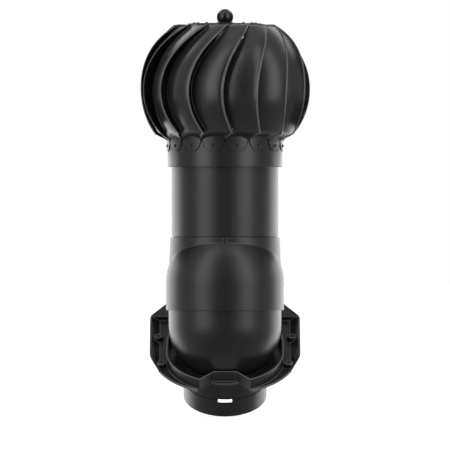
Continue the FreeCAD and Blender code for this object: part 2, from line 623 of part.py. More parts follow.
# Axle: clamped on the cross, stepped for the lower bearing.
shoulder_low = "(Sizes.cross_rise + Sizes.cross_tall / 2)"
bearing_seat = "(Sizes.sleeve_low_rise + Sizes.sleeve_flange_thick)"
step = "(Sizes.axle_radius + Sizes.axle_step)"
nut_low = "(Sizes.cross_rise - Sizes.cross_tall / 2 - Sizes.nut_tall)"
keep(turned("axle_bar", [
    ("0", nut_low + " - Sizes.axle_radius"),
    ("Sizes.axle_radius", nut_low + " - Sizes.axle_radius"),
    ("Sizes.axle_radius", shoulder_low),
    ("Sizes.axle_shoulder", shoulder_low),
    ("Sizes.axle_shoulder", shoulder_low + " + Sizes.axle_shoulder_tall"),
    (step, shoulder_low + " + Sizes.axle_shoulder_tall"),
    (step, bearing_seat),
    ("Sizes.axle_radius", bearing_seat),
    ("Sizes.axle_radius", "Sizes.axle_top_rise"),
    ("0", "Sizes.axle_top_rise")]), "axle", ON_PIPE)
nut_block = doc.addObject("Part::Prism", "nut_block")
nut_block.Polygon = 6
bind(at(nut_block, z=nut_low), Circumradius="Sizes.nut_across / 2", Height="Sizes.nut_tall")
nut_hole = cylinder("nut_hole", "Sizes.axle_radius + Sizes.running_gap / 8",
                    "3 * Sizes.nut_tall", z=nut_low + " - Sizes.nut_tall")
keep(cut("nut", nut_block, nut_hole), "axle_nut", ON_PIPE)

# Rotor: ring, plate, hub sleeve, bearings and knob turn about the pipe's axis.
ring_band = turned("ring_band", [
    (RING_INNER, "Sizes.ring_low_rise"),
    (RING + " + Sizes.ring_bead", "Sizes.ring_low_rise"),
    (RING + " + Sizes.ring_bead", "Sizes.ring_low_rise + 2 * Sizes.ring_wall"),
    (RING, "Sizes.ring_low_rise + 3 * Sizes.ring_wall"),
    (RING, "Sizes.ring_top_rise"),
    (RING_INNER, "Sizes.ring_top_rise")])
BLADES = int(size("blade_count"))


def spread(name, shape, where):
    """Copies of one shape about the rotor's axis, one for each blade, from the front."""
    whole = doc.addObject("Part::Feature", name)
    turned_copies = []
    for number in range(BLADES):
        copy = shape.copy()
        copy.rotate(Vector(0, 0, 0), Vector(0, 0, 1), where + 360 / BLADES * (number + 0.5) - 90)
        turned_copies.append(copy)
    whole.Shape = Part.Compound(turned_copies)
    return whole


def rivet(grip_start, grip_end, reach, radius):
    """A domed rivet along +X, with its head's flat face at grip_end."""
    head = size("rivet_head")
    tall = size("rivet_dome")
    curve = (head ** 2 + tall ** 2) / (2 * tall)
    ball = Part.makeSphere(curve, Vector(grip_end + tall - curve, 0, 0))
    cap = Part.makeCylinder(head, tall, Vector(grip_end, 0, 0), Vector(1, 0, 0)).common(ball)
    shank = Part.makeCylinder(radius, grip_end - grip_start + reach,
                              Vector(grip_start - reach, 0, 0), Vector(1, 0, 0))
    return cap.fuse(shank).removeSplitter()


rivet_gap = size("running_gap") / 4
foot_outer = value(RING) + size("blade_wall") + rivet_gap
ring_rivet = rivet(value(RING_INNER), foot_outer, size("rivet_tail"), size("rivet_shank"))
ring_rivet.translate(Vector(0, 0, size("low_rivet_rise")))
tab_top = size("top_plate_rise") + size("top_plate_thick")
top_rivet = rivet(size("top_plate_rise") - size("blade_wall") - rivet_gap, tab_top,
                  size("rivet_tail"), size("rivet_shank"))
top_rivet.rotate(Vector(0, 0, 0), Vector(0, 1, 0), -90)
top_rivet.translate(Vector(size("top_rivet_radius"), 0, 0))
hole_radius = size("rivet_shank") + rivet_gap
drill_reach = size("drill_reach")
ring_drill = Part.makeCylinder(hole_radius, 2 * drill_reach, Vector(
    value(RING) - drill_reach, 0, size("low_rivet_rise")), Vector(1, 0, 0))
top_drill = Part.makeCylinder(hole_radius, 2 * drill_reach, Vector(
    size("top_rivet_radius"), 0, size("top_plate_rise") - drill_reach))
keep(spread("ring_rivet_set", ring_rivet, 0), "ring_rivets", ON_PIPE)
keep(spread("top_rivet_set", top_rivet, 0), "top_rivets", ON_PIPE)
keep(cut("ring", ring_band, spread("ring_drills", ring_drill, 0)), "rotor_ring", ON_PIPE)
plate_disc = turned("plate_disc", [
    ("0", "Sizes.top_plate_rise"),
    ("Sizes.top_plate_radius", "Sizes.top_plate_rise"),
    ("Sizes.top_plate_radius", "Sizes.top_plate_rise + Sizes.top_plate_thick"),
    ("0", "Sizes.top_plate_rise + Sizes.top_plate_thick")])
stem_hole = cylinder("stem_hole", "Sizes.knob_stem + Sizes.running_gap / 2",
                     "2 * Sizes.drill_reach", z="Sizes.top_plate_rise - Sizes.drill_reach")
plate_drilled = cut("plate_drilled", plate_disc, spread("top_drills", top_drill, 0))
keep(cut("cap_plate", plate_drilled, stem_hole), "top_plate", ON_PIPE)

sleeve_top = "Sizes.top_plate_rise"
lower_bearing_top = "(%s + Sizes.bearing_wide)" % bearing_seat
upper_bearing_low = "(Sizes.axle_top_rise - Sizes.axle_end - Sizes.bearing_wide)"
sleeve_inner = "(Sizes.bearing_outer - Sizes.axle_step)"
sleeve_bore = "(Sizes.bearing_outer + Sizes.running_gap / 8)"
keep(turned("sleeve", [
    (sleeve_bore, "Sizes.sleeve_low_rise"),
    ("Sizes.sleeve_radius", "Sizes.sleeve_low_rise"),
    ("Sizes.sleeve_radius", sleeve_top + " - Sizes.sleeve_flange_thick"),
    ("Sizes.sleeve_flange", sleeve_top + " - Sizes.sleeve_flange_thick"),
    ("Sizes.sleeve_flange", sleeve_top),
    (sleeve_bore, sleeve_top),
    (sleeve_bore, upper_bearing_low),
    (sleeve_inner, upper_bearing_low),
    (sleeve_inner, lower_bearing_top),
    (sleeve_bore, lower_bearing_top)]), "hub_sleeve", ON_PIPE)


def bearing(name, low):
    return turned(name, [
        ("Sizes.bearing_bore", low),
        ("Sizes.bearing_outer", low),
        ("Sizes.bearing_outer", "%s + Sizes.bearing_wide" % low),
        ("Sizes.bearing_bore", "%s + Sizes.bearing_wide" % low)])


keep(bearing("bearing_a", bearing_seat), "bearing_lower", ON_PIPE)
keep(bearing("bearing_b", upper_bearing_low), "bearing_upper", ON_PIPE)
neck = "(Sizes.knob_rise - sqrt(pow(Sizes.knob_radius; 2) - pow(Sizes.knob_neck; 2)))"
keep(turned("knob", [
    ("0", sleeve_top + " - Sizes.sleeve_flange_thick"),
    ("Sizes.knob_stem", sleeve_top + " - Sizes.sleeve_flange_thick"),
    ("Sizes.knob_stem", "Sizes.top_plate_rise + Sizes.top_plate_thick"),
    ("Sizes.knob_neck", "Sizes.top_plate_rise + Sizes.top_plate_thick"),
    ("Sizes.knob_neck", neck),
    ("0", "Sizes.knob_rise + Sizes.knob_radius", "0", "Sizes.knob_rise", "x")]),
    "ball_knob", ON_PIPE)


FOOT_SHARES = (0.05, 0.2, 0.45, 0.75, 1)
MAIN_STEPS = 9
TUCK_CENTRE = 5
TUCK_SPREAD = 1.55
HEM_SHARES = (0.95, 0.98, 1.01)


def blade_rows():
    """Stations along a blade, in four runs that meet at its bends: foot tab, underside,
    main sheet and top tab. Each station has the radius and height of the outer edge, the
    angle of that edge, the angle that the sheet spans, and its share of the tuck and of
    the foot's arched bend."""
    half = size("foot_half_angle")
    tip = size("foot_low_rise")
    valley = size("foot_valley_rise")
    foot = []
    for share in FOOT_SHARES:
        width = half * math.sqrt(1 - (1 - share) ** 2)
        arch = max(0, 4 * share - 3)
        foot.append([foot_outer, tip + (valley - tip) * share, width, 2 * width, 0, arch])
    low = math.radians(size("belly_low_angle"))
    top = math.radians(size("belly_top_angle"))
    lead_low = size("blade_lead_low_angle")
    bow = (size("blade_lead_top_angle") / top + lead_low / -low) / (top - low)
    lean = size("blade_lead_top_angle") / top - bow * top
    main = []
    for step in range(MAIN_STEPS + 1):
        angle = low + (top - low) * step / MAIN_STEPS
        tuck = math.cos((angle - math.radians(TUCK_CENTRE)) * TUCK_SPREAD)
        main.append([size("belly_offset") + size("belly_arc") * math.cos(angle),
                     size("belly_rise") + size("belly_arc") * math.sin(angle),
                     size("blade_shift_angle") + lean * angle + bow * angle ** 2,
                     2 * half + size("blade_overlap_angle") * tuck ** 1.5, tuck, 0])
    under = [foot[-1], [(a + b) / 2 for a, b in zip(foot[-1], main[0])], main[0]]
    under[1][4] = main[0][4] / 3
    tab = [main[-1]]
    extra = size("blade_shift_angle") + size("blade_lead_top_angle") - 360 / BLADES - half
    for share in (0.5, 1):
        radius = main[-1][0] + (size("top_tab_reach") - main[-1][0]) * share
        ahead = 360 / BLADES + half + extra * (1 - share) ** 2
        tab.append([radius, size("top_plate_rise") - size("top_tab_gap"), ahead, 2 * half, 0, 0])
    return [foot, under, main, tab]


def sheet_solid(runs, across, wall, raised=0):
    """A sheet bent through runs of stations: two skins, creased where the runs meet, and
    the narrow edges between them."""
    flat_list = [row for number, run in enumerate(runs) for row in run[1 if number else 0:]]
    wires = {}
    for number, row in enumerate(flat_list):
        radius, rise, ahead, width, tuck, arch = row
        before = flat_list[max(number - 1, 0)]
        after = flat_list[min(number + 1, len(flat_list) - 1)]
        first = Vector(radius - before[0], 0, rise - before[1])
        last = Vector(after[0] - radius, 0, after[1] - rise)
        along = Vector(0, 0, 0)
        for part in (first, last):
            if part.Length > 0:
                along += part.normalize()
        along.normalize()
        normal = Vector(along.z, 0, -along.x)
        pair = []
        for offset in (raised, raised - wall):
            points = []
            for share in across:
                bend = size("foot_arch") * arch * (1 - (2 * share - 1) ** 2)
                depth = size("blade_tuck") * tuck * max(1 - share, 0) ** 1.25
                turn = math.radians(ahead - (1 - share) * width)
                reach = radius + normal.x * (offset - depth)
                points.append(Vector(reach * math.cos(turn), reach * math.sin(turn),
                                     rise + bend + normal.z * (offset - depth)))
            curve = Part.BSplineCurve()
            curve.interpolate(points)
            pair.append(curve.toShape())
        wires[number] = pair
    faces = []
    start = 0
    for run in runs:
        numbers = range(start, start + len(run))
        start += len(run) - 1
        sides = []
        for skin in (0, 1):
            loft = Part.makeLoft([Part.Wire(wires[n][skin]) for n in numbers], False, False)
            faces.extend(loft.Faces)
            ends = (wires[numbers[0]][skin], wires[numbers[-1]][skin])
            sides.append([e for e in loft.Edges if all(
                (e.CenterOfMass - end.CenterOfMass).Length > 0.05 for end in ends)])
        for edge in sides[0]:
            mate = min(sides[1], key=lambda e: (e.CenterOfMass - edge.CenterOfMass).Length)
            faces.append(Part.makeRuledSurface(edge, mate))
    for number in (0, len(flat_list) - 1):
        faces.append(Part.makeRuledSurface(*wires[number]))
    shell = Part.makeShell(faces)
    shell.sewShape()
    solid = Part.makeSolid(shell)
    if solid.Volume < 0:
        solid = Part.makeSolid(shell.reversed())
    return solid


def blade_shape():
    """One blade with its foot's middle at +X, with the folded hem along its outer edge."""
    runs = blade_rows()
    wall = size("blade_wall")
    body = sheet_solid(runs, (0, 0.33, 0.67, 1), wall)
    proud = (size("blade_hem") - wall) / 2
    hem = sheet_solid([runs[2]], HEM_SHARES, size("blade_hem"), proud)
    drill = top_drill.copy()
    drill.rotate(Vector(0, 0, 0), Vector(0, 0, 1), 360 / BLADES)
    return body.fuse(hem).cut(ring_drill).cut(drill)


blade = blade_shape()
for number in range(BLADES):
    feature = doc.addObject("Part::Feature", "blade_%d" % (number + 1))
    feature.Shape = blade
    turn = "-90 + 360 / Sizes.blade_count * %s" % (number + 0.5)
    keep(feature, "blade_%02d" % (number + 1), dict(
        ON_PIPE, Placement__Rotation__Angle=turn))

doc.recompute()
for thing in doc.Objects:
    if "Invalid" in thing.State or "Error" in thing.State:
        raise RuntimeError("%s failed: %s" % (thing.Label, thing.State))
for piece in pieces:
    if piece.Shape.isNull() or not piece.Shape.isValid():
        raise RuntimeError("%s has no valid shape" % piece.Label)

os.makedirs("parts", exist_ok=True)
for piece in pieces:
    piece.Shape.exportStep(os.path.join("parts", piece.Label + ".step"))
    print(piece.Label, len(piece.Shape.Solids), round(piece.Shape.Volume))
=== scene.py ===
import bpy
import bmesh
import json
import math
from mathutils import Matrix, Vector
from mathutils.bvhtree import BVHTree


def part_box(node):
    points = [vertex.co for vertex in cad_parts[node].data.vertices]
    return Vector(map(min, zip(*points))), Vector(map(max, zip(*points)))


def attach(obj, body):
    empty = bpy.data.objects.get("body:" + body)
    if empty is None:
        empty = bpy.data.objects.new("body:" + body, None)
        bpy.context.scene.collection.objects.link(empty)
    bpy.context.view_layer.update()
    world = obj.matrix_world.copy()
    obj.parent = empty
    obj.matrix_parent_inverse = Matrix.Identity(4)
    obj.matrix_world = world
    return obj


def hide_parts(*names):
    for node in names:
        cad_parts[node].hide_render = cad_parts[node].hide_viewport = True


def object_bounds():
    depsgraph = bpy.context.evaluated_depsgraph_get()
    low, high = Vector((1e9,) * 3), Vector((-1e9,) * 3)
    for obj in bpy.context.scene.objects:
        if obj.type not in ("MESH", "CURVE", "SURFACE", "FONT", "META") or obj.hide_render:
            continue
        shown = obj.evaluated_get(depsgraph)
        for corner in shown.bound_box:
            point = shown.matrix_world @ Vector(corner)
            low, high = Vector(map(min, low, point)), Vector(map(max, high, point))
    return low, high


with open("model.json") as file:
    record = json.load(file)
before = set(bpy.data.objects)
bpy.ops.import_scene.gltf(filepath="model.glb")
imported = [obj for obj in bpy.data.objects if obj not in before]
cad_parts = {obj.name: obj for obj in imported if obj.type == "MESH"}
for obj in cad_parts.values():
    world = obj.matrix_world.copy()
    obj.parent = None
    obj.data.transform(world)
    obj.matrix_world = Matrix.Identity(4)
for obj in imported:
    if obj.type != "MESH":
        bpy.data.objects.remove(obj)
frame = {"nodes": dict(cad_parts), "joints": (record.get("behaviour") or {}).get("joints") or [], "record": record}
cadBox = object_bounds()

nodes = frame["nodes"]
scene = bpy.context.scene
slotOf = {part["node"]: part["material_slot"] for part in frame["record"]["subparts"]}
bodyOf = {node: body for body, members in frame["record"]["behaviour"]["bodies"].items() for node in members}
print("frame loaded,", len(nodes), "nodes")


# Shader maths as plain expressions: a Wire is one output socket of a node tree.
class Wire:
    def __init__(self, board, socket):
        self.board = board
        self.socket = socket

    def maths(self, operation, *others):
        return self.board.maths(operation, self, *others)

    def __add__(self, other): return self.maths("ADD", other)
    def __radd__(self, other): return self.board.maths("ADD", other, self)
    def __sub__(self, other): return self.maths("SUBTRACT", other)
    def __rsub__(self, other): return self.board.maths("SUBTRACT", other, self)
    def __mul__(self, other): return self.maths("MULTIPLY", other)
    def __pow__(self, other): return self.maths("POWER", other)
    def __neg__(self): return self.maths("MULTIPLY", -1.0)

    def clamped(self): return self.maths("MINIMUM", 1.0).maths("MAXIMUM", 0.0)
    def atLeast(self, other): return self.maths("MAXIMUM", other)
    def atMost(self, other): return self.maths("MINIMUM", other)


# A Board is one node tree that wires are laid on.
class Board:
    def __init__(self, tree):
        self.tree = tree

    def add(self, kind, settings=None, inputs=None, output=0):
        node = self.tree.nodes.new(kind)
        for name, setting in (settings or {}).items():
            setattr(node, name, setting)
        for key, given in (inputs or {}).items():
            if isinstance(given, Wire):
                self.tree.links.new(given.socket, node.inputs[key])
            else:
                node.inputs[key].default_value = given
        return Wire(self, node.outputs[output])

    def maths(self, operation, *terms):
        return self.add("ShaderNodeMath", {"operation": operation}, dict(enumerate(terms)))

    def place(self):
        return self.add("ShaderNodeTexCoord", output="Object")

    def rays(self, kind):
        return self.add("ShaderNodeLightPath", output=kind)

    def axes(self, wire):
        split = self.tree.nodes.new("ShaderNodeSeparateXYZ")
        self.tree.links.new(wire.socket, split.inputs[0])
        return [Wire(self, output) for output in split.outputs]

    def noise(self, scale, detail, rough, stretch=None):
        where = self.place()
        if stretch:
            where = self.add("ShaderNodeMapping", None, {"Vector": where, "Scale": stretch})
        return self.add("ShaderNodeTexNoise", None, {
            "Vector": where, "Scale": scale, "Detail": detail, "Roughness": rough})

    def mix(self, factor, first, second):
        return self.add("ShaderNodeMix", {"data_type": "RGBA"}, {0: factor, 6: first, 7: second}, 2)

    def bump(self, height, distance, strength=1.0):
        return self.add("ShaderNodeBump", None, {"Height": height, "Distance": distance, "Strength": strength})


def grey(level, tint=(1.0, 1.0, 1.0)):
    return (level * tint[0], level * tint[1], level * tint[2], 1.0)


def newMaterial(name, fixed):
    material = bpy.data.materials.new(name)
    material.use_nodes = True
    shader = material.node_tree.nodes["Principled BSDF"]
    for key, given in fixed.items():
        shader.inputs[key].default_value = given
    return material, Board(material.node_tree), shader


def feed(board, shader, wires):
    for key, wire in wires.items():
        board.tree.links.new(wire.socket, shader.inputs[key])


# Edges rubbed a little lighter and smoother, which is wear and partly a painted highlight, or, where the edge
# attribute is below zero, darkened and dulled as painted shade.
# Here and below, a pair beside a name is the detail and roughness of its noise.
rubbingAndPaintedLight = {"patches": (3.0, 0.6), "middle": 0.75, "spread": 0.5, "smoother": 0.06,
           "paintedShadeTone": 0.002, "paintedShadeDull": 0.55}


def rubbedAndPaintedLight(board, look, tone, gloss):
    mark = board.add("ShaderNodeAttribute", {"attribute_name": "edgeWearAndPaintedLight"}, output=2)
    patches = board.noise(look["wearAndHighlightScale"], *rubbingAndPaintedLight["patches"])
    # The lighter tone on edges is wear and partly a painted highlight; the dark tone below zero is painted shade.
    wearAndPaintedLight = mark.clamped() * (rubbingAndPaintedLight["middle"] + (patches - 0.5) * rubbingAndPaintedLight["spread"])
    paintedShade = (-mark).clamped()
    tone = board.mix(wearAndPaintedLight, tone, grey(look["wearAndHighlightTone"]))
    tone = board.mix(paintedShade, tone, grey(rubbingAndPaintedLight["paintedShadeTone"]))
    return tone, gloss - wearAndPaintedLight * rubbingAndPaintedLight["smoother"] + paintedShade * rubbingAndPaintedLight["paintedShadeDull"]


# Moulded black plastic: fine grain, slow mottle, faint dust on the faces that look up.
plastic = {"mottle": (4.0, 0.6), "grain": (2.0, 0.5), "peel": (1.0, 0.4), "dust": (6.0, 0.65),
           "darkest": 0.75, "lightest": 1.3, "grainDull": 0.05, "relief": 0.0001,
           "dustCling": 3.0, "dustTone": 0.16, "dustTint": (1.0, 0.98, 0.94), "dustDull": 0.5}
sheen = {"IOR": 1.5, "Specular IOR Level": 0.5}


def mouldedPlastic(name, look):
    material, board, shader = newMaterial(name, sheen)
    cloudy = board.noise(look["mottleScale"], *plastic["mottle"])
    grain = board.noise(look["grainScale"], *plastic["grain"])
    peel = board.noise(look["peelScale"], *plastic["peel"])
    facing = board.axes(board.add("ShaderNodeNewGeometry", output="Normal"))[2]
    settled = board.noise(look["dustScale"], *plastic["dust"])
    dust = (facing.clamped() ** plastic["dustCling"]) * settled * look["dust"]
    tone = board.mix(cloudy, grey(look["level"] * plastic["darkest"]), grey(look["level"] * plastic["lightest"]))
    tone = board.mix(dust, tone, grey(plastic["dustTone"], plastic["dustTint"]))
    gloss = look["roughness"] + (cloudy - 0.5) * look["roughnessSpread"]
    gloss = gloss + dust * plastic["dustDull"] + (grain - 0.5) * plastic["grainDull"]
    tone, gloss = rubbedAndPaintedLight(board, look, tone, gloss)
    relief = board.bump(grain * look["grain"] + peel * look["peel"], plastic["relief"])
    feed(board, shader, {"Base Color": tone, "Roughness": gloss.clamped(), "Normal": relief})
    return material


# Powder coated sheet: orange peel and slight chalking.
sheet = {"mottle": (5.0, 0.6), "peel": (2.0, 0.5), "fine": (1.0, 0.5), "fineScale": 4.0, "fineRelief": 0.15,
         "darkest": 0.7, "lightest": 1.35, "fineDull": 0.06, "relief": 0.0001}


def coatedSheet(name, look):
    material, board, shader = newMaterial(name, sheen)
    cloudy = board.noise(look["mottleScale"], *sheet["mottle"])
    peel = board.noise(look["peelScale"], *sheet["peel"])
    fine = board.noise(look["peelScale"] * sheet["fineScale"], *sheet["fine"])
    tone = board.mix(cloudy, grey(look["level"] * sheet["darkest"]), grey(look["level"] * sheet["lightest"]))
    gloss = look["roughness"] + (cloudy - 0.5) * look["roughnessSpread"] + (fine - 0.5) * sheet["fineDull"]
    tone, gloss = rubbedAndPaintedLight(board, look, tone, gloss)
    relief = board.bump(peel * look["peel"] + fine * sheet["fineRelief"], sheet["relief"])
    feed(board, shader, {"Base Color": tone, "Roughness": gloss.clamped(), "Normal": relief})
    return material


# Bare metal: fine lines round the axis or along it, and slight staining.
metal = {"lines": (2.0, 0.6), "stain": (5.0, 0.6), "stainScale": 60.0, "darkest": 0.8, "lightest": 1.1,
         "lineDull": 0.25, "relief": 0.00004, "reliefShare": 0.6}


def turnedMetal(name, look):
    material, board, shader = newMaterial(name, {"Metallic": 1.0})
    lines = board.noise(look["lineScale"], *metal["lines"], stretch=look["stretch"])
    stain = board.noise(metal["stainScale"], *metal["stain"])
    tone = board.mix(stain, grey(look["level"] * metal["darkest"], look["tint"]),
                     grey(look["level"] * metal["lightest"], look["tint"]))
    gloss = look["roughness"] + (lines - 0.5) * metal["lineDull"]
    relief = board.bump(lines, metal["relief"], metal["reliefShare"])
    feed(board, shader, {"Base Color": tone, "Roughness": gloss.clamped(), "Normal": relief})
    return material


# Each material's wear tone is the colour of its lightened edges: wear, and partly a painted highlight.
finishes = {
    "flange_plastic": mouldedPlastic("flangePlastic", {
        "level": 0.014, "roughness": 0.38, "roughnessSpread": 0.10, "mottleScale": 22.0,
        "grainScale": 2600.0, "grain": 0.5, "peelScale": 260.0, "peel": 0.6,
        "dustScale": 90.0, "dust": 0.06, "wearAndHighlightScale": 120.0, "wearAndHighlightTone": 0.17}),
    "housing_plastic": mouldedPlastic("housingPlastic", {
        "level": 0.014, "roughness": 0.36, "roughnessSpread": 0.08, "mottleScale": 18.0,
        "grainScale": 2600.0, "grain": 0.4, "peelScale": 220.0, "peel": 0.5,
        "dustScale": 80.0, "dust": 0.05, "wearAndHighlightScale": 120.0, "wearAndHighlightTone": 0.09}),
    "pipe_coat": mouldedPlastic("pipePlastic", {
        "level": 0.014, "roughness": 0.36, "roughnessSpread": 0.08, "mottleScale": 14.0,
        "grainScale": 2600.0, "grain": 0.3, "peelScale": 200.0, "peel": 0.4,
        "dustScale": 80.0, "dust": 0.05, "wearAndHighlightScale": 120.0, "wearAndHighlightTone": 0.09}),
    "rotor_coat": coatedSheet("rotorCoat", {
        "level": 0.017, "roughness": 0.30, "roughnessSpread": 0.10, "mottleScale": 26.0,
        "peelScale": 700.0, "peel": 0.8, "wearAndHighlightScale": 90.0, "wearAndHighlightTone": 0.11}),
    "rivet_coat": coatedSheet("rivetCoat", {
        "level": 0.005, "roughness": 0.24, "roughnessSpread": 0.10, "mottleScale": 120.0,
        "peelScale": 1200.0, "peel": 0.5, "wearAndHighlightScale": 90.0, "wearAndHighlightTone": 0.1}),
    "bracket_steel": coatedSheet("bracketCoat", {
        "level": 0.04, "roughness": 0.42, "roughnessSpread": 0.10, "mottleScale": 60.0,
        "peelScale": 900.0, "peel": 0.6, "wearAndHighlightScale": 90.0, "wearAndHighlightTone": 0.1}),
    "screw_steel": turnedMetal("screwZinc", {
        "level": 0.55, "tint": (1.0, 1.0, 1.02), "roughness": 0.32,
        "lineScale": 900.0, "stretch": (1.0, 1.0, 1.0)}),
    "axle_steel": turnedMetal("axleSteel", {
        "level": 0.6, "tint": (1.0, 1.0, 1.0), "roughness": 0.25,
        "lineScale": 300.0, "stretch": (0.1, 0.1, 8.0)}),
    "hub_aluminium": turnedMetal("hubAluminium", {
        "level": 0.7, "tint": (1.0, 1.0, 1.01), "roughness": 0.3,
        "lineScale": 300.0, "stretch": (0.1, 0.1, 8.0)}),
    "bearing_steel": turnedMetal("bearingSteel", {
        "level": 0.6, "tint": (1.0, 1.0, 1.0), "roughness": 0.2,
        "lineScale": 400.0, "stretch": (0.1, 0.1, 8.0)}),
    "knob_plastic": mouldedPlastic("knobPlastic", {
        "level": 0.007, "roughness": 0.28, "roughnessSpread": 0.04, "mottleScale": 60.0,
        "grainScale": 3000.0, "grain": 0.1, "peelScale": 300.0, "peel": 0.2,
        "dustScale": 120.0, "dust": 0.03, "wearAndHighlightScale": 120.0, "wearAndHighlightTone": 0.05}),
}
print("finishes made:", len(finishes))

for name, node in nodes.items():
    node.data.materials.clear()
    node.data.materials.append(finishes[slotOf[name]])
print("nodes dressed")


# Rounds the corners of a form and marks them with wear and painted light: lighter as wear and painted highlight,
# or painted shade where the value is below zero. Corners lower than crispBelow stay sharp.
easing = {"overshoot": 0.6, "upright": (0.0, 0.0, 1.0), "uprightFrom": 0.9, "uprightWearAndPaintedLight": 1.0, "crispBelow": -1.0}


def easeEdges(form, ownLook):
    look = {**easing, **ownLook}
    upright = Vector(look["upright"])
    wearAndPaintedLight = form.loops.layers.float.new("edgeWearAndPaintedLight")
    corners = [edge for edge in form.edges
               if len(edge.link_faces) == 2 and edge.calc_face_angle() > math.radians(look["angle"])]
    edges = [edge for edge in corners if edge.verts[0].co.dot(upright) > look["crispBelow"]]
    for edge in set(corners).difference(edges):
        edge.smooth = False
    skin = BVHTree.FromBMesh(form)
    eased = bmesh.ops.bevel(form, geom=edges, offset=look["width"], offset_type="OFFSET",
                            segments=look["segments"], profile=0.5, affect="EDGES",
                            clamp_overlap=False, material=-1)
    # The eased faces get the mark: lighter as wear and painted highlight, or painted shade where it is below zero.
    for face in eased["faces"]:
        longest = max(face.edges, key=lambda edge: edge.calc_length())
        along = (longest.verts[1].co - longest.verts[0].co).normalized()
        share = look["uprightWearAndPaintedLight"] if abs(along.dot(upright)) > look["uprightFrom"] else 1.0
        for loop in face.loops:
            loop[wearAndPaintedLight] = look["wearAndPaintedLightLevel"] * share
    for vertex in form.verts:   # a rounding that overshot a tight corner goes back onto the solid
        spot, _, _, stray = skin.find_nearest(vertex.co)
        if stray > look["overshoot"] * look["width"]:
            vertex.co = spot


def inScene(title, form, material):
    data = bpy.data.meshes.new(title)
    form.to_mesh(data)
    form.free()
    data.materials.append(material)
    thing = bpy.data.objects.new(title, data)
    scene.collection.objects.link(thing)
    return thing


# A piece that stands for a CAD node, with even shading; a look with a wall makes a sheet of it.
def finishedPiece(title, node, form, look):
    for face in form.faces:
        face.smooth = True
    piece = inScene(title, form, finishes[slotOf[node]])
    if "wall" in look:
        wall = piece.modifiers.new("wall", "SOLIDIFY")
        wall.thickness, wall.offset, wall.use_even_offset = look["wall"], -1.0, True
        ease = piece.modifiers.new("ease", "BEVEL")
        ease.width, ease.segments, ease.profile = look["width"], look["segments"], 0.5
        ease.limit_method, ease.angle_limit = "ANGLE", math.radians(look["angle"])
    even = piece.modifiers.new("even", "WEIGHTED_NORMAL")
    even.mode, even.weight, even.keep_sharp = "FACE_AREA", 50, True
    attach(piece, bodyOf[node])
    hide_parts(node)


# The mouldings are carried over with their corners eased, so that the edges catch the light; the rounding is also
# painted lighter, as wear and as a painted highlight.
# On the flange, edges square to the roof get less of that lightening, and the spigot's edges stay crisp.
easedLooks = {
    "base_flange": {"weld": 2e-6, "flat": 0.2, "width": 0.0008, "segments": 2, "angle": 20.0, "wearAndPaintedLightLevel": 1.0,
                    "upright": (0.0, -0.5, 0.866), "uprightWearAndPaintedLight": 0.25, "crispBelow": 0.053},
    "hood": {"weld": 2e-6, "flat": 0.2, "width": 0.0007, "segments": 2, "angle": 22.0, "wearAndPaintedLightLevel": 0.45},
    "lower_housing": {"weld": 2e-6, "flat": 0.2, "width": 0.0004, "segments": 2, "angle": 32.0, "wearAndPaintedLightLevel": 0.6},
}
for name, look in easedLooks.items():
    form = bmesh.new()
    form.from_mesh(nodes[name].data)
    bmesh.ops.remove_doubles(form, verts=form.verts, dist=look["weld"])
    bmesh.ops.dissolve_limit(form, angle_limit=math.radians(look["flat"]), verts=form.verts, edges=form.edges)
    easeEdges(form, look)
    finishedPiece(name + "Eased", name, form, look)
print("eased copies:", len(easedLooks))

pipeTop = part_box("upper_pipe")[1].z
pipeAxis = frame["joints"][1]["pos_m"]


# A ring of the given (radius, height) outline about the pipe's axis, spun from +X.
def spunForm(outline, look):
    form = bmesh.new()
    corners = [form.verts.new((radius, 0.0, rise)) for radius, rise in outline]
    edges = [form.edges.new(pair) for pair in zip(corners, corners[1:] + corners[:1])]
    bmesh.ops.spin(form, geom=corners + edges, cent=(0.0, 0.0, 0.0), axis=(0.0, 0.0, 1.0),
                   angle=math.tau, steps=look["steps"], use_merge=True, use_duplicate=False)
    bmesh.ops.remove_doubles(form, verts=form.verts, dist=look["weld"])
    bmesh.ops.recalc_face_normals(form, faces=form.faces)
    bmesh.ops.translate(form, vec=(pipeAxis[0], pipeAxis[1], pipeTop), verts=form.verts)
    easeEdges(form, look)
    return form


# Upper pipe, with the dark joint line just above the hood's rim.
tube = {"outer": 0.0800, "inner": 0.0780, "jointDeep": 0.0018, "jointLow": -0.0006, "jointTop": 0.0014,
        "steps": 144, "weld": 1e-6, "width": 0.0003, "segments": 2, "angle": 40.0, "wearAndPaintedLightLevel": 0.0}
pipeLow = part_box("upper_pipe")[0].z - pipeTop
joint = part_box("hood")[1].z - pipeTop
jointFloor = tube["outer"] - tube["jointDeep"]
finishedPiece("pipeTube", "upper_pipe", spunForm([
    (tube["inner"], pipeLow), (tube["outer"], pipeLow),
    (tube["outer"], joint + tube["jointLow"]), (jointFloor, joint + tube["jointLow"]),
    (jointFloor, joint + tube["jointTop"]), (tube["outer"], joint + tube["jointTop"]),
    (tube["outer"], 0.0), (tube["inner"], 0.0)], tube), tube)

# Rotor ring: a rolled band, its lower edge turned out a hair and painted dark as shade, for the shadow line under
# the ring.
band = {"outer": 0.0860, "inner": 0.0848, "low": -0.0202, "top": 0.0190, "turnOut": 0.0001, "turnTall": 0.0012,
        "steps": 144, "weld": 1e-6, "width": 0.00025, "segments": 3, "angle": 40.0, "wearAndPaintedLightLevel": -0.6}
turned = band["outer"] + band["turnOut"]
finishedPiece("rotorBand", "rotor_ring", spunForm([
    (band["inner"], band["low"]), (turned, band["low"]), (turned, band["low"] + band["turnTall"]),
    (band["outer"], band["low"] + band["turnTall"] + 2.0 * band["turnOut"]),
    (band["outer"], band["top"]), (band["inner"], band["top"])], band), band)
print("pipe and band spun")

